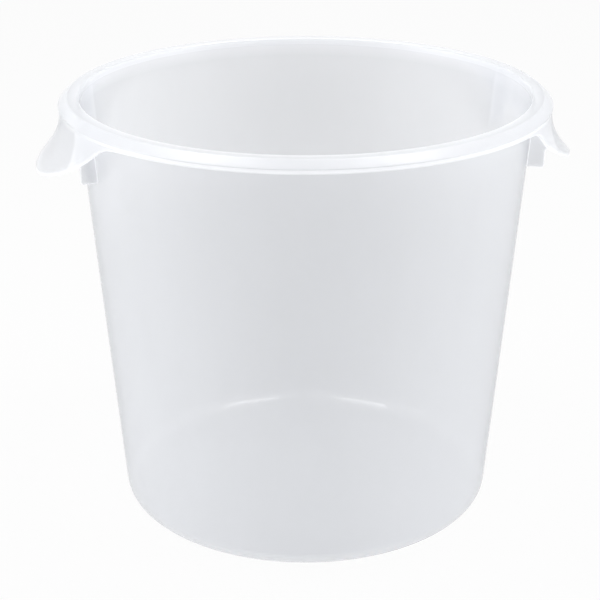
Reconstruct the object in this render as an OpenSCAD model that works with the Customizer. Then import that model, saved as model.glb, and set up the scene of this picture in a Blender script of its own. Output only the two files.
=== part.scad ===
// A round, tapering food tub in translucent plastic, open at the top, with two grip ears under its rim.
// The tub stands on z = 0 with its axis on Z, and the ears lie on -X and +X.
// It is one moulding, drawn as the regions that it is made up of. They meet face to face.

/* [Tub] */
// Height from the table to the mouth
height = 297; // [220:1:400]
// Outside radius of the wall where its line reaches the table
base_r = 131.2; // [115:0.2:145]
// Outside radius of the wall where its line reaches the mouth
mouth_r = 155.5; // [147:0.5:175]
// Thickness of the wall, measured level
wall = 2.3; // [1.6:0.1:3.5]
// Thickness of the floor
floor_t = 2.4; // [1.6:0.1:4]
// Outside radius of the corner between the wall and the floor
corner_out_r = 12.5; // [8:0.5:15]
// Inside radius of the same corner
corner_in_r = 10; // [6:0.5:15]

/* [Foot] */
// Height of the floor's underside above the table
foot_h = 1.2; // [0.8:0.1:3]
// Width of the flat ring that the tub stands on
foot_w = 7; // [4:0.5:20]
// Radius of the gate mark
gate_r = 3.8; // [2:0.2:6]
// Height of the gate mark below the floor
gate_h = 0.5; // [0.2:0.1:0.7]

/* [Rim] */
// How far the rim's widest line stands out from the wall
rim_reach = 11.7; // [9:0.1:20]
// Thickness of the rim's flat top, its slope and its lip
rim_t = 2.3; // [1.6:0.1:3]
// Rounding of the mouth's inner edge
mouth_round = 1.2; // [0.4:0.1:1.6]
// Width of the slope that leads from the flat top to the lip
slope_w = 5.6; // [3:0.1:6.5]
// Height of that slope
slope_h = 5; // [3:0.1:8]
// Height of the lip below the slope
lip_h = 3; // [2:0.1:8]
// How far the lip leans back towards the wall
lip_lean = 0.7; // [0:0.1:1.2]

/* [Ears] */
// Depth of an ear's lower edge below the mouth, at its middle
ear_drop = 48.3; // [40:0.1:70]
// How far the lower edge stands out from the lip, at its middle
ear_reach = 17.3; // [12:0.1:25]
// Thickness of the ear's sheet
ear_t = 2.4; // [1.6:0.1:3]
// Height of the straight band along the ear's lower edge
band_h = 3; // [1:0.1:5]
// Angle from an ear's middle at which its lower edge would be back at the lip's radius
reach_angle = 24.5; // [20:0.5:32]
// Angle from an ear's middle at which its lower edge would meet the lip
drop_angle = 33.2; // [28:0.1:38]
// Angle from an ear's middle to its end
end_angle = 43; // [43:0.5:48]

/* [Ribs] */
// Angle of each rib from the middle of its ear
rib_angle = 20; // [16:0.5:26]
// Thickness of a rib
rib_t = 2; // [1.2:0.1:3]
// Height of a rib's foot above the lowest line of its ear
rib_rise = 4.1; // [0:0.1:7]
// Rounding of a rib's lower outer corner
rib_round = 2; // [0.5:0.1:3]
// Distance from the lip's inner face back to a rib's free edge
rib_inset = 0.7; // [0.3:0.1:3]
// Height above the ear's lower edge at which a rib leaves the inside of its ear
rib_hold = 7.2; // [3:0.2:12]
// Height over which a rib then steps back to its free edge
rib_step = 6; // [3:0.5:7]

/* [Hidden] */
plastic = [0.86, 0.87, 0.88];
$fn = 180;
// Spare length of a cutting solid past what it cuts
over = 1;
// Clearance between the faceted inside of an ear and its ribs
seam = 0.2;
// Softness of the turn where an ear's lower edge runs out into the lip
turn_soft = 0.2;
// Power that sets how late an ear swings outwards
swing_power = 2.15;
// Steps of an arc, of an ear's height and of an ear's length
arc_steps = 8;
ear_steps = 8;
ear_ribbons = 36;

// The wall is a cone, and its level thickness is the same all the way up
taper = (mouth_r - base_r) / height;
lean = sqrt(1 + taper * taper);
function wall_out(z) = base_r + taper * z;
function wall_in(z) = wall_out(z) - wall;

// The floor's top, and the height up to which the base corner reaches
floor_top = foot_h + floor_t;
corner_top = max(corner_out_r, floor_top + corner_in_r);
// Radii at which the two corner arcs leave the flat
corner_out_x = wall_out(corner_out_r) - corner_out_r * lean;
corner_in_x = wall_in(floor_top + corner_in_r) - corner_in_r * lean;
corner_x = min(corner_out_x, corner_in_x);
foot_r = corner_x - foot_w;

// The rim, from the wall outwards
flange_z = height - rim_t;
lip_r = mouth_r + rim_reach;
slope_r = lip_r - slope_w;
lip_top_z = height - slope_h;
lip_z = lip_top_z - lip_h;
lip_foot_r = lip_r - lip_lean;
lip_in_r = lip_foot_r - rim_t;
slope_len = norm([slope_w, slope_h]);
// The slope's inner face lies one thickness behind its outer face
slope_in_r = slope_r - rim_t * (slope_len - slope_w) / slope_h;
lip_in_z = lip_top_z - rim_t * (slope_len - slope_h) / slope_w;

// Points of an arc from angle a0 to angle a1
function arc(x, z, r, a0, a1) = [
    for (i = [0 : arc_steps]) let (a = a0 + (a1 - a0) * i / arc_steps) [x + r * cos(a), z + r * sin(a)]
];

// Keeps b where it is well above 0 and lets it run out softly towards 0 below
function run_out(b) = (b + sqrt(b * b + turn_soft * turn_soft)) / 2;
// An arch over an ear: 1 at its middle, and running out past the angle w
function arch(a, w) = run_out(1 - pow(a / w, 2)) / run_out(1);

// The ear's lower edge at an angle from its middle
function edge_z(a) = lip_z - (ear_drop - height + lip_z) * arch(a, drop_angle);
function edge_r(a) = lip_foot_r + ear_reach * arch(a, reach_angle);
// The straight band is lower where the ear runs out
function band_z(a) = edge_z(a) + min(band_h, (lip_z - edge_z(a)) * 0.4);

// The ear's outer face from the lip (t = 0) to the band (t = 1), as [radius, height]
function ear_out(a, t) = [
    lip_foot_r + (edge_r(a) - lip_foot_r) * pow(t, swing_power),
    lip_z - (lip_z - band_z(a)) * t
];
// How far the face moves outwards for each unit down, and the sheet's thickness measured level
function ear_slope(a, t) =
    (edge_r(a) - lip_foot_r) * swing_power * pow(t, swing_power - 1) / (lip_z - band_z(a));
function ear_in(a, t) = ear_out(a, t) - [ear_t * norm([1, ear_slope(a, t)]), 0];
// The same inner face, found by its height
function ear_in_at(a, z) = ear_in(a, min(1, (lip_z - z) / (lip_z - band_z(a))));

// A closed section of the ear: down its outer face, across its lower edge and up its inner face
function ear_section(a) = concat(
    [for (i = [0 : ear_steps]) ear_out(a, i / ear_steps)],
    [[edge_r(a), edge_z(a)], [edge_r(a) - ear_t, edge_z(a)]],
    [for (i = [ear_steps : -1 : 0]) ear_in(a, i / ear_steps)]
);

module turned(points) {
    rotate_extrude() polygon(points);
}

module floor() {
    color(plastic) translate([0, 0, foot_h]) cylinder(h = floor_t, r = foot_r);
}

module gate_mark() {
    color(plastic) translate([0, 0, foot_h - gate_h]) cylinder(h = gate_h, r = gate_r);
}

module foot_ring() {
    color(plastic) difference() {
        cylinder(h = floor_top, r = corner_x);
        translate([0, 0, -over]) cylinder(h = floor_top + 2 * over, r = foot_r);
    }
}

module base_corner() {
    tilt = atan(taper);
    color(plastic) turned(concat(
        [[corner_x, 0]],
        arc(corner_out_x, corner_out_r, corner_out_r, -90, -tilt),
        [[wall_out(corner_top), corner_top], [wall_in(corner_top), corner_top]],
        arc(corner_in_x, floor_top + corner_in_r, corner_in_r, -tilt, -90),
        [[corner_x, floor_top]]
    ));
}

module side_wall() {
    color(plastic) turned([
        [wall_out(corner_top), corner_top], [wall_out(flange_z), flange_z],
        [wall_in(flange_z), flange_z], [wall_in(corner_top), corner_top]
    ]);
}

module rim_flange() {
    color(plastic) turned(concat(
        [[wall_in(flange_z), flange_z], [slope_in_r, flange_z], [slope_in_r, height]],
        arc(wall_in(height) + mouth_round, height - mouth_round, mouth_round, 90, 180)
    ));
}

module rim_skirt() {
    color(plastic) turned([
        [slope_in_r, flange_z], [lip_in_r + lip_lean, lip_in_z], [lip_in_r, lip_z], [lip_foot_r, lip_z],
        [lip_r, lip_top_z], [slope_r, height], [slope_in_r, height]
    ]);
}

// An ear centred on +X
module ear() {
    n = len(ear_section(0));
    points = [
        for (i = [0 : ear_ribbons]) let (a = end_angle * (2 * i / ear_ribbons - 1))
            for (p = ear_section(a)) [p[0] * cos(a), p[0] * sin(a), p[1]]
    ];
    sides = [
        for (i = [0 : ear_ribbons - 1], k = [0 : n - 1]) let (k2 = (k + 1) % n)
            each [
                [i * n + k, i * n + k2, (i + 1) * n + k],
                [(i + 1) * n + k, i * n + k2, (i + 1) * n + k2]
            ]
    ];
    // Each end is a strip between the outer face and the inner face
    last = ear_ribbons * n;
    ends = [
        for (k = [0 : n / 2 - 2]) let (in_k = n - 1 - k)
            each [
                [k, in_k, k + 1], [in_k, in_k - 1, k + 1],
                [last + k, last + k + 1, last + in_k], [last + in_k, last + k + 1, last + in_k - 1]
            ]
    ];
    polyhedron(points, concat(sides, ends));
}

// A rib beside the +X ear, at the given angle: an upright plate cut back to the wall's cone
module rib(angle) {
    foot_z = height - ear_drop + rib_rise;
    free_r = lip_in_r - rib_inset;
    hold_z = edge_z(rib_angle) + rib_hold;
    // The ear draws in towards its ends, so the rib is fitted at its face farther from the ear's middle
    fit_angle = rib_angle + atan(rib_t / 2 / lip_in_r);
    inside = wall_in(foot_z) - over;
    cut_h = height - foot_z + 2 * over;
    outline = concat(
        [[inside, foot_z]],
        arc(free_r - rib_round, foot_z + rib_round, rib_round, -90, 0),
        [[free_r, hold_z - rib_step]],
        [
            for (i = [0 : ear_steps]) let (z = hold_z + (lip_z - hold_z) * i / ear_steps)
                [ear_in_at(fit_angle, z)[0] - seam, z]
        ],
        [[lip_in_r + lip_lean - seam, lip_in_z], [slope_in_r - seam, flange_z], [inside, flange_z]]
    );
    rotate([0, 0, angle]) difference() {
        rotate([90, 0, 0]) linear_extrude(rib_t, center = true) polygon(outline);
        translate([0, 0, foot_z - over])
            cylinder(h = cut_h, r1 = wall_out(foot_z - over), r2 = wall_out(foot_z - over + cut_h));
    }
}

module right_ear() {
    color(plastic) ear();
}

module left_ear() {
    color(plastic) rotate([0, 0, 180]) ear();
}

module right_front_rib() {
    color(plastic) rib(-rib_angle);
}

module right_back_rib() {
    color(plastic) rib(rib_angle);
}

module left_front_rib() {
    color(plastic) rib(180 + rib_angle);
}

module left_back_rib() {
    color(plastic) rib(180 - rib_angle);
}

floor();
gate_mark();
foot_ring();
base_corner();
side_wall();
rim_flange();
rim_skirt();
left_ear();
right_ear();
left_front_rib();
left_back_rib();
right_front_rib();
right_back_rib();
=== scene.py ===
# %% [markdown]
# # A translucent food tub
# The object is a round, tapering tub that bakers proof dough in. It is one moulding in
# milky plastic: a thin wall, a rounded base corner, a rolled rim and two grip ears that hang
# from the rim with a pair of ribs under each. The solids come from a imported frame, and this
# lesson gives them their looks: one smooth skin, a see-through plastic, soft light and the
# photograph's own viewpoint.

# %% Load the frame
from functools import lru_cache
from math import atan, atan2, cos, degrees, hypot, radians, sin

import bmesh
import bpy
from mathutils import Matrix, Vector


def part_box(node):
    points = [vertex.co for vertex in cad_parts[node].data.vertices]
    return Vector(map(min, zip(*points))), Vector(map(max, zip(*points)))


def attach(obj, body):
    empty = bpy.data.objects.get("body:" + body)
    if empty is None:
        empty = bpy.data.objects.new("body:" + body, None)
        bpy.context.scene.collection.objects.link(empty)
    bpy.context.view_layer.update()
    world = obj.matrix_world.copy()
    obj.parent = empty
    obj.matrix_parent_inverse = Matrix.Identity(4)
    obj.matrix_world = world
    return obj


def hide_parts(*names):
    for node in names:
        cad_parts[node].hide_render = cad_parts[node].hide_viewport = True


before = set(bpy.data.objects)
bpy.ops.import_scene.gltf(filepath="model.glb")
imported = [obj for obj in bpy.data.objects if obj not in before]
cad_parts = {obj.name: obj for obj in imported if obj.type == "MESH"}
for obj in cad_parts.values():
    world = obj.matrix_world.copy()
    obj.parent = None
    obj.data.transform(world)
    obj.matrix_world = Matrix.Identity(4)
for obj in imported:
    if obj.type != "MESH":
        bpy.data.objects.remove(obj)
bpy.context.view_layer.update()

scene = bpy.context.scene
print("solids in the frame:", len(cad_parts))

# %% [markdown]
# ## The camera
# The photograph looks down on the tub by about 22 degrees, from about a metre away, with the
# left ear turned a little towards the viewer. The place of a camera can be guessed and nudged,
# or worked out from outlines whose shape is known. Here it was worked out: the mouth, the rim's
# lower edge and the base are all circles, and only one viewpoint draws all three as the
# photograph does. A small shift puts the tub a little right of the middle, as it is there.

# %% Place the camera
MM = 0.001
CAMERA_REACH = 1063.1 * MM
CAMERA_HEIGHT = 573.9 * MM
CAMERA_TILT = 22.12
CAMERA_TURN = 7.3

camera_data = bpy.data.cameras.new("camera")
camera_data.sensor_width = 36
camera_data.lens = 96.14
camera_data.shift_x = -0.00925
camera_data.shift_y = 0.0008
camera = bpy.data.objects.new("camera", camera_data)
turn = radians(CAMERA_TURN)
camera.location = (-CAMERA_REACH * sin(turn), -CAMERA_REACH * cos(turn), CAMERA_HEIGHT)
camera.rotation_euler = (radians(90 - CAMERA_TILT), 0, -turn)
scene.collection.objects.link(camera)
scene.camera = camera
print("camera at", [round(v, 3) for v in camera.location])

# %% [markdown]
# ## Sizes
# A moulding has one wall thickness almost everywhere, and its other sizes hang on a few radii
# and heights. They could all be typed in again, but the frame already holds them, so most are
# read from the boxes of its solids. Only what a box can't show is written here: the wall, the
# corner radii, the slope of the rim and the shape of an ear.

# %% Read the sizes from the frame
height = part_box("rim_flange")[1][2]
flange_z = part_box("side_wall")[1][2]
mouth_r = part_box("side_wall")[1][0]
corner_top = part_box("base_corner")[1][2]
corner_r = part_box("base_corner")[1][0]
corner_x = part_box("foot_ring")[1][0]
foot_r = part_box("floor")[1][0]
foot_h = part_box("floor")[0][2]
floor_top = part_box("floor")[1][2]
gate_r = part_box("gate_mark")[1][0]
gate_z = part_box("gate_mark")[0][2]
slope_in_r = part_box("rim_flange")[1][0]
lip_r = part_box("rim_skirt")[1][0]
lip_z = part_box("rim_skirt")[0][2]
ear_low_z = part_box("right_ear")[0][2]
ear_far_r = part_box("right_ear")[1][0]
rib_foot_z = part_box("right_front_rib")[0][2]

taper = (mouth_r - corner_r) / (flange_z - corner_top)
base_r = corner_r - taper * corner_top
print("height %.1f mm, rim across %.1f mm, ears across %.1f mm" % (
    height / MM, 2 * lip_r / MM, 2 * ear_far_r / MM))

# %% Name the sizes that no box shows
WALL = 2.3 * MM
CORNER_OUT_R = 12.5 * MM
CORNER_IN_R = 10 * MM
EDGE_ROUND = 0.5 * MM
MOUTH_ROUND = 1.2 * MM
SLOPE_W = 5.6 * MM
SLOPE_H = 5 * MM
LIP_LEAN = 0.7 * MM
EAR_T = 2.4 * MM
BAND_H = 3 * MM
RIB_ANGLE = 20
REACH_ANGLE = 24.5
DROP_ANGLE = 33.2
TURN_SOFT = 0.2
SWING_POWER = 2.15

rim_t = height - flange_z
lean = hypot(1, taper)
lip_top_z = height - SLOPE_H
lip_foot_r = lip_r - LIP_LEAN
lip_in_r = lip_foot_r - rim_t
slope_r = lip_r - SLOPE_W
lip_in_z = lip_top_z - rim_t * (hypot(SLOPE_W, SLOPE_H) - SLOPE_H) / SLOPE_W
ear_top_z = lip_z + EDGE_ROUND


def wall_out(z):
    return base_r + taper * z


def wall_in(z):
    return wall_out(z) - WALL


print("wall leans %.2f degrees" % degrees(atan(taper)))

# %% [markdown]
# ## The shape of an ear
# An ear is a sheet that hangs from the rim's lower edge. At its middle it swings out and down
# like a skirt, and towards its ends it runs out into the rim. It could be sculpted by hand, but
# two curves say it all: how low its edge hangs and how far that edge stands out, both for an
# angle from the ear's middle. Down the sheet one more curve leads from the rim to the edge. It
# leaves the rim straight down and flares out ever more, like the mouth of a bell.

# %% Curves of an ear
def run_out(b):
    return (b + hypot(b, TURN_SOFT)) / 2


def arch(a, width):
    """Is 1 at an ear's middle and runs out past the angle width."""
    return run_out(1 - (a / width) ** 2) / run_out(1)


def edge_z(a):
    return lip_z - (lip_z - ear_low_z) * arch(a, DROP_ANGLE)


def edge_r(a):
    return lip_foot_r + (ear_far_r - lip_foot_r) * arch(a, REACH_ANGLE)


def band_z(a):
    return edge_z(a) + min(BAND_H, (lip_z - edge_z(a)) * 0.4)


def sheet_point(a, t, inside):
    """A point of the sheet at angle a, from the rim (t = 0) to the straight band (t = 1)."""
    drop = ear_top_z - band_z(a)
    out = edge_r(a) - lip_foot_r
    r = lip_foot_r + out * t ** SWING_POWER
    if inside:
        slope = out * SWING_POWER * t ** (SWING_POWER - 1) / drop
        r -= EAR_T * hypot(1, slope)
    return r, ear_top_z - drop * t


for angle in (0, 20, 40):
    print("ear edge at %2d degrees: radius %.1f, height %.1f mm" % (
        angle, edge_r(angle) / MM, edge_z(angle) / MM))

# %% [markdown]
# ## The moulding's outline
# Cut the tub in half and the cut face is one thin closed strip. Its outline runs from the
# middle of the underside out to the foot ring, round the base corner, up the wall, under the
# rim, round the ear, over the rim's top, down the inside and back to the middle of the floor.
# A helper adds round stretches as arcs, so the list holds only the corners that matter. Each
# stretch also carries two values that the plastic reads later: milk, raised at the thicker gate
# nub and at the rim and the ears, and glow, a painted glow that stands in for light that runs
# along inside the sheet and for light that falls on the place.

# %% Draw the outline
SHEET_STEPS = 12
WALL_STEPS = 24
GATE_MILK = 0.4
EAR_MILK = 0.2
RIM_MILK = 0.2
# The glow values below paint a light of the skin's own, standing in for light that runs along inside the
# sheet and light that falls on those places. In the floor's corner and at the middle of the floor it is a
# painted highlight.
WALL_PAINTED_GLOW = 0.25
MOUTH_PAINTED_GLOW = 0.4
GATE_PAINTED_GLOW = 0.8
CORNER_PAINTED_GLOW = 0.3
EAR_EDGE_PAINTED_GLOW = 0.8
WING_PAINTED_GLOW = 0.5
SLOPE_PAINTED_GLOW = 0.25
CREASE_PAINTED_GLOW = 0.3


def arc(x, z, r, start, end, steps):
    turns = [radians(start + (end - start) * i / steps) for i in range(steps + 1)]
    return [(x + r * cos(turn), z + r * sin(turn)) for turn in turns]


def wall_line(radius_at, z0, z1):
    levels = [z0 + (z1 - z0) * i / WALL_STEPS for i in range(1, WALL_STEPS)]
    return [(radius_at(z), z) for z in levels]


@lru_cache(maxsize=None)
def outline(a):
    """The moulding's cut face at an angle from the middle of the nearer ear."""
    tilt = degrees(atan(taper))
    out_x = wall_out(CORNER_OUT_R) - CORNER_OUT_R * lean
    in_z = floor_top + CORNER_IN_R
    in_x = wall_in(in_z) - CORNER_IN_R * lean
    edge, band = edge_z(a), band_z(a)
    far, near = edge_r(a), edge_r(a) - EAR_T
    curl = min(EDGE_ROUND, (band - edge) * 0.4)
    down = [sheet_point(a, i / SHEET_STEPS, True) for i in range(SHEET_STEPS + 1)]
    up = [sheet_point(a, i / SHEET_STEPS, False) for i in range(SHEET_STEPS, -1, -1)]
    gate = [(0, gate_z), (gate_r, gate_z), (gate_r + EDGE_ROUND, foot_h)]
    foot = [(foot_r - EDGE_ROUND, foot_h), (foot_r, foot_h - EDGE_ROUND), (foot_r + EDGE_ROUND, 0)]
    outside = arc(out_x, CORNER_OUT_R, CORNER_OUT_R, -90, -tilt, 10)
    outside += wall_line(wall_out, CORNER_OUT_R, flange_z)
    outside += arc(wall_out(flange_z) + EDGE_ROUND, flange_z - EDGE_ROUND, EDGE_ROUND, 180, 90, 3)
    hollow = [(slope_in_r, flange_z), (lip_in_r + LIP_LEAN, lip_in_z)]
    edge_in = arc(near + curl, edge + curl, curl, 180, 270, 3)
    edge_out = arc(far - curl, edge + curl, curl, 270, 360, 3)
    lip = [(lip_foot_r + 0.5 * LIP_LEAN, (lip_top_z + lip_z) / 2)]
    lip += [(lip_r - 0.1 * LIP_LEAN, lip_top_z - EDGE_ROUND), (lip_r, lip_top_z)]
    lip += [(lip_r - 0.3 * MM, lip_top_z + 0.4 * MM), (slope_r + MM, height - 0.9 * MM)]
    crease = [(slope_r + 0.4 * MM, height - 0.4 * MM), (slope_r, height - 0.1 * MM)]
    crease += [(slope_r - 0.5 * MM, height)]
    top = [(slope_r - 1.2 * MM, height)]
    mouth = arc(wall_in(height) + MOUTH_ROUND, height - MOUTH_ROUND, MOUTH_ROUND, 90, 180, 5)
    inside = wall_line(wall_in, height - MOUTH_ROUND, in_z)
    corner = arc(in_x, in_z, CORNER_IN_R, -tilt, -90, 10)
    # Painted glow: the lip's glow fades where an ear hangs below it, and the wall between the ribs gets some
    # above the ribs' foot.
    lip_painted_glow = 1 - min(1, arch(a, DROP_ANGLE))
    lit = [point for point in inside if point[1] > rib_foot_z and a < RIB_ANGLE]
    # Painted glow also lies on the ears' edges and wings and on the rim's slope, crease and mouth. A painted
    # highlight sits at the middle of the floor, and one sits in the floor's corner over the boxes' real
    # mirror images there.
    parts = [
        (gate, GATE_MILK, 0), (foot, 0, 0), (outside, 0, 0), (hollow, RIM_MILK, 0), (down, EAR_MILK, 0),
        (edge_in, EAR_MILK, EAR_EDGE_PAINTED_GLOW), (edge_out, EAR_MILK, EAR_EDGE_PAINTED_GLOW),
        (up[:-1], EAR_MILK, WING_PAINTED_GLOW if a > RIB_ANGLE else 0), (up[-1:] + lip[:2], RIM_MILK, lip_painted_glow),
        (lip[2:], RIM_MILK, SLOPE_PAINTED_GLOW), (crease, RIM_MILK, CREASE_PAINTED_GLOW), (top, RIM_MILK, 0),
        (mouth, RIM_MILK, MOUTH_PAINTED_GLOW), (lit, 0, WALL_PAINTED_GLOW), (inside[len(lit):], 0, 0),
        (corner[:3], 0, 0), (corner[3:8], 0, CORNER_PAINTED_GLOW), (corner[8:], 0, 0),
        ([(gate_r + EDGE_ROUND, floor_top)], 0, 0), ([(gate_r, floor_top), (0, floor_top)], 0, GATE_PAINTED_GLOW),
    ]
    return [(r, z, milk, painted_glow) for points, milk, painted_glow in parts for r, z in points]


print("points in the outline:", len(outline(0)))

# %% [markdown]
# ## The moulding
# On the real tub everything is one piece of plastic, and in a see-through material each inner
# face would show. So the solids of the frame are stood for by a single closed skin. The outline
# is spun once round the axis, which gives rings of points, and then each point moves to the
# outline of its own angle. Spinning makes the faces, and the ear's curves only place them.

# %% Spin the moulding
RINGS = 288


def new_piece(name, bm):
    mesh = bpy.data.meshes.new(name)
    bm.to_mesh(mesh)
    bm.free()
    mesh.shade_smooth()
    piece = bpy.data.objects.new(name, mesh)
    scene.collection.objects.link(piece)
    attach(piece, "root")
    return piece


def steady_normals(piece):
    """Lets the large faces rule the shading, so that narrow roundings stay crisp."""
    steady = piece.modifiers.new("steady normals", "WEIGHTED_NORMAL")
    steady.keep_sharp = True


def spin_moulding():
    bm = bmesh.new()
    place = bm.verts.layers.int.new("place")
    milk = bm.verts.layers.float.new("milk")
    painted_glow = bm.verts.layers.float.new("painted_glow")
    points = [bm.verts.new((r, 0, z)) for r, z, _, _ in outline(0)]
    for index, point in enumerate(points):
        point[place] = index
    edges = [bm.edges.new(pair) for pair in zip(points, points[1:])]
    bmesh.ops.spin(
        bm, geom=points + edges, cent=(0, 0, 0), axis=(0, 0, 1), angle=radians(360),
        steps=RINGS, use_merge=True,
    )
    for point in bm.verts:
        x, y, z = point.co
        around = atan2(y, x)
        angle = round(degrees(atan2(abs(y), abs(x))), 3)
        r, z, point[milk], point[painted_glow] = outline(angle)[point[place]]
        point.co = (r * cos(around), r * sin(around), z)
    bmesh.ops.remove_doubles(bm, verts=bm.verts, dist=0.002 * MM)
    bmesh.ops.recalc_face_normals(bm, faces=bm.faces)
    return new_piece("moulding", bm)


moulding = spin_moulding()
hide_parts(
    "floor", "gate_mark", "foot_ring", "base_corner", "side_wall", "rim_flange",
    "rim_skirt", "left_ear", "right_ear",
)
steady_normals(moulding)
print("moulding:", len(moulding.data.polygons), "faces")

# %% [markdown]
# ## The ribs
# Two upright ribs stand under each ear and keep it from folding when the tub is lifted. Each is
# a flat plate that fills the corner between the wall and the ear, then steps back to a free
# edge. A plate is best made flat: its outline becomes a face, the face is pulled to the rib's
# thickness, its edges are eased a little, and the plate turns to its place round the tub.

# %% Make the ribs
RIB_T = 2 * MM
RIB_ROUND = 2 * MM
RIB_INSET = 0.7 * MM
RIB_HOLD = 7.2 * MM
RIB_STEP = 6 * MM
RIB_EASE = 0.25 * MM
RIB_MILK = 0.2
RIB_BAND = 0.5 * MM
RIB_PAINTED_GLOW = 0.7
SEAM = 0.06 * MM


def rib_outline():
    free_r = lip_in_r - RIB_INSET
    hold_z = edge_z(RIB_ANGLE) + RIB_HOLD
    fit_angle = RIB_ANGLE + degrees(atan(RIB_T / 2 / lip_in_r))
    held = (ear_top_z - hold_z) / (ear_top_z - band_z(fit_angle))
    along = [sheet_point(fit_angle, held * (1 - i / SHEET_STEPS), True) for i in range(SHEET_STEPS + 1)]
    points = [(wall_out(rib_foot_z) + SEAM, rib_foot_z)]
    points += arc(free_r - RIB_ROUND, rib_foot_z + RIB_ROUND, RIB_ROUND, -90, 0, 5)
    points += [(free_r, hold_z - RIB_STEP)]
    points += [(r - SEAM, z) for r, z in along]
    points += [(lip_in_r + LIP_LEAN - SEAM, lip_in_z - SEAM), (slope_in_r - SEAM, flange_z - SEAM)]
    return points + [(wall_out(flange_z) + SEAM, flange_z - SEAM)]


def make_rib(name, azimuth):
    bm = bmesh.new()
    milk = bm.verts.layers.float.new("milk")
    painted_glow = bm.verts.layers.float.new("painted_glow")
    face = bm.faces.new([bm.verts.new((r, -RIB_T / 2, z)) for r, z in rib_outline()])
    pulled = bmesh.ops.extrude_face_region(bm, geom=[face])
    moved = [item for item in pulled["geom"] if isinstance(item, bmesh.types.BMVert)]
    bmesh.ops.translate(bm, verts=moved, vec=(0, RIB_T, 0))
    bmesh.ops.recalc_face_normals(bm, faces=bm.faces)
    rims = [edge for edge in bm.edges if abs(edge.verts[0].co.y - edge.verts[1].co.y) < 0.1 * MM]
    bmesh.ops.bevel(
        bm, geom=rims, offset=RIB_EASE, segments=2, affect="EDGES", profile=0.5, material=-1)
    # The rib's edges get a painted glow, and its flat cheeks get none.
    for point in bm.verts:
        point[milk] = RIB_MILK
        point[painted_glow] = RIB_PAINTED_GLOW
    cheeks = [face for face in bm.faces if abs(face.normal.y) > 0.9 and len(face.verts) > 4]
    bmesh.ops.inset_region(bm, faces=cheeks, thickness=RIB_BAND, use_even_offset=True)
    for cheek in cheeks:
        for point in cheek.verts:
            point[painted_glow] = 0
    bmesh.ops.rotate(bm, verts=bm.verts, cent=(0, 0, 0), matrix=Matrix.Rotation(radians(azimuth), 3, "Z"))
    rib = new_piece(name, bm)
    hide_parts(name)
    steady_normals(rib)
    return rib


ribs = [
    make_rib("right_front_rib", -RIB_ANGLE),
    make_rib("right_back_rib", RIB_ANGLE),
    make_rib("left_front_rib", 180 + RIB_ANGLE),
    make_rib("left_back_rib", 180 - RIB_ANGLE),
]
print("ribs:", [rib.name for rib in ribs])

# %% [markdown]
# ## The milk in the plastic
# Natural polypropylene is milky: some light goes straight through it and some is scattered on
# the way. A volume could scatter the light, but it is slow and noisy in a wall 2 mm thick, so
# the surface does it. A cover value says how much of the light the milk catches. The caught part
# is shared by a diffuse skin and a translucent one, which glows with the light from behind. The
# rest goes straight through. Faint clouds keep the milk from looking like paint. Where the milk
# value is raised, at the thicker gate nub and at the rim, the ears and the ribs, the milk is
# whiter and covers more.

# %% Mix the milk
THIN_COVER = 0.45
THICK_COVER = 0.75
GLOW_SHARE = 0.5
THIN_MILK = (0.915, 0.925, 0.95, 1)
THICK_MILK = (0.955, 0.965, 0.98, 1)
CLOUD_DEPTH = 0.97
CLOUD_SCALE = 40
CLOUD_STRETCH = 0.35


def add_node(tree, kind, place, **settings):
    node = tree.nodes.new(kind)
    node.location = place
    for name, value in settings.items():
        setattr(node, name, value)
    return node


def add_clouds(tree):
    """Faint clouds in the milk, a little taller than wide. Returns their brightness."""
    spot = add_node(tree, "ShaderNodeTexCoord", (-900, 0))
    stretch = add_node(tree, "ShaderNodeMapping", (-700, 0))
    stretch.inputs["Scale"].default_value = (1, 1, CLOUD_STRETCH)
    clouds = add_node(tree, "ShaderNodeTexNoise", (-480, 150))
    clouds.inputs["Scale"].default_value = CLOUD_SCALE
    clouds.inputs["Detail"].default_value = 3
    shade = add_node(tree, "ShaderNodeMapRange", (-240, 300))
    shade.inputs["To Min"].default_value = CLOUD_DEPTH
    tree.links.new(spot.outputs["Object"], stretch.inputs["Vector"])
    tree.links.new(stretch.outputs["Vector"], clouds.inputs["Vector"])
    tree.links.new(clouds.outputs["Fac"], shade.inputs["Value"])
    return shade.outputs["Result"]


def add_milk_tone(tree, milk):
    """The milk's own colour, whiter where the milk value is raised."""
    tone = add_node(tree, "ShaderNodeMix", (-240, 550), data_type="RGBA")
    tone.inputs["A"].default_value = THIN_MILK
    tone.inputs["B"].default_value = THICK_MILK
    tint = add_node(tree, "ShaderNodeMix", (0, 400), data_type="RGBA", blend_type="MULTIPLY")
    tint.inputs["Factor"].default_value = 1
    tree.links.new(milk, tone.inputs["Factor"])
    tree.links.new(tone.outputs["Result"], tint.inputs["A"])
    tree.links.new(add_clouds(tree), tint.inputs["B"])
    return tint.outputs["Result"]


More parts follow.
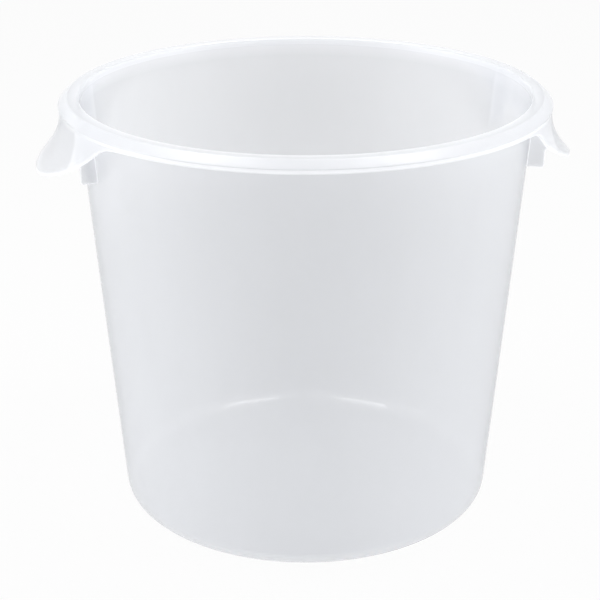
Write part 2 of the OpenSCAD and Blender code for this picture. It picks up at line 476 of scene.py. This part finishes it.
def add_body(tree, milk):
    """The plastic without its gloss: milk that catches a share of the light, and clear for the rest."""
    body = add_node(tree, "ShaderNodeMixShader", (700, 50))
    milky = add_node(tree, "ShaderNodeMixShader", (560, -50))
    milky.inputs["Fac"].default_value = GLOW_SHARE
    clear = add_node(tree, "ShaderNodeBsdfTransparent", (400, 200))
    skin = add_node(tree, "ShaderNodeBsdfDiffuse", (400, 50))
    behind = add_node(tree, "ShaderNodeBsdfTranslucent", (400, -150))
    cover = add_node(tree, "ShaderNodeMapRange", (0, 650))
    cover.inputs["To Min"].default_value = THIN_COVER
    cover.inputs["To Max"].default_value = THICK_COVER
    tone = add_milk_tone(tree, milk)
    tree.links.new(tone, skin.inputs["Color"])
    tree.links.new(tone, behind.inputs["Color"])
    tree.links.new(milk, cover.inputs["Value"])
    tree.links.new(skin.outputs["BSDF"], milky.inputs[1])
    tree.links.new(behind.outputs["BSDF"], milky.inputs[2])
    tree.links.new(cover.outputs["Result"], body.inputs["Fac"])
    tree.links.new(clear.outputs["BSDF"], body.inputs[1])
    tree.links.new(milky.outputs["Shader"], body.inputs[2])
    return body.outputs["Shader"]


print("milk catches", THIN_COVER, "of the light in the wall")

# %% [markdown]
# ## The gloss
# The tub's smooth skin mirrors a little of the room, and more of it towards the edges, where one
# looks along the surface. A glass shader does that by itself, but it would also bend what is seen
# through the wall. So a gloss layer is laid over the milk, with a share that grows steeply with
# the angle. It is a little blurred where the plastic is thick, and a slight ripple keeps the
# mirror images of the lamps from being ruler-straight.

# %% Lay the gloss
GLOSS_FACING = 0.065
GLOSS_EDGE = 0.6
GLOSS_ROUGH = 0.08
MILKY_ROUGH = 0.35
GLOSS_RISE = 5
RIPPLE_SCALE = 60
RIPPLE_STRENGTH = 0.06
RIPPLE_DEPTH = 0.6 * MM


def add_gloss_share(tree):
    """How much the skin mirrors: little straight on, much at a grazing look."""
    edge = add_node(tree, "ShaderNodeLayerWeight", (300, 500))
    edge.inputs["Blend"].default_value = 0.5
    steep = add_node(tree, "ShaderNodeMath", (480, 500), operation="POWER")
    steep.inputs[1].default_value = GLOSS_RISE
    share = add_node(tree, "ShaderNodeMapRange", (660, 500))
    share.inputs["To Min"].default_value = GLOSS_FACING
    share.inputs["To Max"].default_value = GLOSS_EDGE
    tree.links.new(edge.outputs["Facing"], steep.inputs[0])
    tree.links.new(steep.outputs["Value"], share.inputs["Value"])
    return share.outputs["Result"]


def add_gloss(tree, milk):
    """The mirror layer, blurred by milk and rippled a little."""
    gloss = add_node(tree, "ShaderNodeBsdfAnisotropic", (650, -250))
    polish = add_node(tree, "ShaderNodeMapRange", (400, -350))
    polish.inputs["From Max"].default_value = RIM_MILK
    polish.inputs["To Min"].default_value = GLOSS_ROUGH
    polish.inputs["To Max"].default_value = MILKY_ROUGH
    spot = add_node(tree, "ShaderNodeTexCoord", (-700, -250))
    ripple = add_node(tree, "ShaderNodeTexNoise", (-480, -250))
    ripple.inputs["Scale"].default_value = RIPPLE_SCALE
    ripple.inputs["Detail"].default_value = 2
    bump = add_node(tree, "ShaderNodeBump", (-100, -300))
    bump.inputs["Strength"].default_value = RIPPLE_STRENGTH
    bump.inputs["Distance"].default_value = RIPPLE_DEPTH
    tree.links.new(milk, polish.inputs["Value"])
    tree.links.new(polish.outputs["Result"], gloss.inputs["Roughness"])
    tree.links.new(spot.outputs["Object"], ripple.inputs["Vector"])
    tree.links.new(ripple.outputs["Fac"], bump.inputs["Height"])
    tree.links.new(bump.outputs["Normal"], gloss.inputs["Normal"])
    return gloss.outputs["BSDF"]


print("gloss from", GLOSS_FACING, "straight on to", GLOSS_EDGE, "at the edges")

# %% [markdown]
# ## The whole plastic
# Two effects are left. A faint absorption inside the sheet darkens long paths, which draws the
# grey line round the silhouette. And the skin gives off a painted glow of its own, as much as its
# glow value says: at the lip, the rim's slope, crease and mouth, the ears' edges and wings, the
# wall between the ribs, the ribs' edges, the middle of the floor and the floor's corner. It
# paints in light that runs along inside the sheet, as in a light pipe, and light that falls on
# those places; in the floor's corner it is a painted highlight. To follow that light would take
# very many bounces.

# %% Put the plastic together
GREY_DEPTH = 40
GREY_TINT = (0.85, 0.86, 0.87, 1)
# Strength of the painted glow that stands in for piped light and for light falling on those places.
PAINTED_GLOW_STRENGTH = 0.2


def add_painted_glow(tree):
    """A weak painted glow of the skin's own, where the glow value asks for it."""
    painted_glow = add_node(tree, "ShaderNodeAttribute", (-240, 900), attribute_name="painted_glow")
    strength = add_node(tree, "ShaderNodeMath", (0, 900), operation="MULTIPLY")
    strength.inputs[1].default_value = PAINTED_GLOW_STRENGTH
    light = add_node(tree, "ShaderNodeEmission", (900, 300))
    tree.links.new(painted_glow.outputs["Fac"], strength.inputs[0])
    tree.links.new(strength.outputs["Value"], light.inputs["Strength"])
    return light.outputs["Emission"]


def make_plastic():
    plastic = bpy.data.materials.new("milky_plastic")
    plastic.use_nodes = True
    tree = plastic.node_tree
    tree.nodes.clear()
    milk = add_node(tree, "ShaderNodeAttribute", (-480, 500), attribute_name="milk").outputs["Fac"]
    gloss_mix = add_node(tree, "ShaderNodeMixShader", (900, 0))
    lit = add_node(tree, "ShaderNodeAddShader", (1000, 100))
    grey = add_node(tree, "ShaderNodeVolumeAbsorption", (900, -300))
    grey.inputs["Color"].default_value = GREY_TINT
    grey.inputs["Density"].default_value = GREY_DEPTH
    out = add_node(tree, "ShaderNodeOutputMaterial", (1200, 0))
    tree.links.new(add_gloss_share(tree), gloss_mix.inputs["Fac"])
    tree.links.new(add_body(tree, milk), gloss_mix.inputs[1])
    tree.links.new(add_gloss(tree, milk), gloss_mix.inputs[2])
    tree.links.new(gloss_mix.outputs["Shader"], lit.inputs[0])
    tree.links.new(add_painted_glow(tree), lit.inputs[1])
    tree.links.new(lit.outputs["Shader"], out.inputs["Surface"])
    tree.links.new(grey.outputs["Volume"], out.inputs["Volume"])
    return plastic


plastic = make_plastic()
for piece in [moulding] + ribs:
    piece.data.materials.append(plastic)
print("plastic on", 1 + len(ribs), "pieces")

# %% [markdown]
# ## Floor and background
# The photograph is a cut-out on white. A real studio has a pale sweep that melts into the
# background. Here the floor is a wide pale sheet that a camera ray sees as nearly white, so
# that the tub's soft shadow still lies on it, and the world behind is white to the camera.

# %% Lay the floor
FLOOR_SPAN = 6
FLOOR_WHITE = 0.68
FLOOR_SHOWN = 0.95
FLOOR_DROP = 0.1 * MM
PAPER_ROUGH = 0.9


def add_seen(tree, place):
    """Is 1 for rays that come from the camera, by way of gloss or glass too, and 0 for light."""
    path = add_node(tree, "ShaderNodeLightPath", place)
    shine = add_node(tree, "ShaderNodeMath", (place[0] + 200, place[1]), operation="MAXIMUM")
    seen = add_node(tree, "ShaderNodeMath", (place[0] + 400, place[1]), operation="MAXIMUM")
    tree.links.new(path.outputs["Is Glossy Ray"], shine.inputs[0])
    tree.links.new(path.outputs["Is Transmission Ray"], shine.inputs[1])
    tree.links.new(path.outputs["Is Camera Ray"], seen.inputs[0])
    tree.links.new(shine.outputs["Value"], seen.inputs[1])
    return seen.outputs["Value"]


def make_floor():
    bm = bmesh.new()
    bmesh.ops.create_grid(bm, x_segments=12, y_segments=12, size=FLOOR_SPAN / 2)
    bmesh.ops.translate(bm, verts=bm.verts, vec=(0, 0, -FLOOR_DROP))
    mesh = bpy.data.meshes.new("floor_sheet")
    bm.to_mesh(mesh)
    bm.free()
    sheet = bpy.data.objects.new("floor_sheet", mesh)
    scene.collection.objects.link(sheet)
    paper = bpy.data.materials.new("pale_paper")
    paper.use_nodes = True
    tree = paper.node_tree
    skin = tree.nodes["Principled BSDF"]
    skin.inputs["Base Color"].default_value = (FLOOR_WHITE, FLOOR_WHITE, FLOOR_WHITE, 1)
    skin.inputs["Roughness"].default_value = PAPER_ROUGH
    white = add_node(tree, "ShaderNodeEmission", (0, -300))
    share = add_node(tree, "ShaderNodeMath", (-200, -300), operation="MULTIPLY")
    share.inputs[1].default_value = FLOOR_SHOWN
    mix = add_node(tree, "ShaderNodeMixShader", (250, 0))
    tree.links.new(add_seen(tree, (-800, -300)), share.inputs[0])
    tree.links.new(share.outputs["Value"], mix.inputs["Fac"])
    tree.links.new(skin.outputs["BSDF"], mix.inputs[1])
    tree.links.new(white.outputs["Emission"], mix.inputs[2])
    tree.links.new(mix.outputs["Shader"], tree.nodes["Material Output"].inputs["Surface"])
    mesh.materials.append(paper)
    return sheet


floor_sheet = make_floor()
print("floor:", FLOOR_SPAN, "m across")

# %% [markdown]
# ## Light
# One bright lamp would burn a spot into milky plastic, and an even sky would leave it flat. So
# a dim sky only fills in. Two soft boxes hang above the tub, left and right of the camera's
# line: they light the rim and the floor, and their mirror images are the two bright arcs in the
# floor's corner. Two lamps stand at the sides and lift the flanks, so that the middle of the
# wall stays a little darker. The left one is the stronger, as the left flank is the lighter.

# %% Set the light
SKY = 0.285
BOX_X = 0.6
BOX_Y = 0.05
BOX_Z = 1.7
BOX_WIDTH = 0.7
BOX_DEPTH = 0.45
BOX_POWER = 9.4
SIDE_X = 1.5
SIDE_Y = -0.3
SIDE_Z = 0.6
SIDE_WIDTH = 0.9
SIDE_DEPTH = 0.7
LEFT_POWER = 10.5
RIGHT_POWER = 9
FLANK = (0, 0, 0.2)


def set_world():
    world = bpy.data.worlds.new("white_room")
    world.use_nodes = True
    tree = world.node_tree
    sky = tree.nodes["Background"]
    sky.inputs["Color"].default_value = (1, 1, 1, 1)
    sky.inputs["Strength"].default_value = SKY
    shown = add_node(tree, "ShaderNodeBackground", (0, -200))
    shown.inputs["Color"].default_value = (1, 1, 1, 1)
    shown.inputs["Strength"].default_value = 1
    seen = add_seen(tree, (-600, 200))
    mix = add_node(tree, "ShaderNodeMixShader", (250, 0))
    tree.links.new(seen, mix.inputs["Fac"])
    tree.links.new(sky.outputs["Background"], mix.inputs[1])
    tree.links.new(shown.outputs["Background"], mix.inputs[2])
    tree.links.new(mix.outputs["Shader"], tree.nodes["World Output"].inputs["Surface"])
    scene.world = world


def add_lamp(name, place, target, width, depth, power):
    """An area lamp whose place and target are given as the camera sees them: right, away, up."""
    lamp = bpy.data.lights.new(name, "AREA")
    lamp.shape = "RECTANGLE"
    lamp.size = width
    lamp.size_y = depth
    lamp.energy = power
    body = bpy.data.objects.new(name, lamp)
    aim = Vector(target) - Vector(place)
    swing = Matrix.Rotation(-turn, 4, "Z")
    body.matrix_world = swing @ Matrix.Translation(place) @ aim.to_track_quat("-Z", "Y").to_matrix().to_4x4()
    scene.collection.objects.link(body)
    return body


set_world()
add_lamp("left_box", (-BOX_X, BOX_Y, BOX_Z), (-BOX_X, BOX_Y, 0), BOX_WIDTH, BOX_DEPTH, BOX_POWER)
add_lamp("right_box", (BOX_X, BOX_Y, BOX_Z), (BOX_X, BOX_Y, 0), BOX_WIDTH, BOX_DEPTH, BOX_POWER)
add_lamp("left_lamp", (-SIDE_X, SIDE_Y, SIDE_Z), FLANK, SIDE_WIDTH, SIDE_DEPTH, LEFT_POWER)
add_lamp("right_lamp", (SIDE_X, SIDE_Y, SIDE_Z), FLANK, SIDE_WIDTH, SIDE_DEPTH, RIGHT_POWER)
scene.view_settings.view_transform = "Standard"
print("sky strength", SKY)
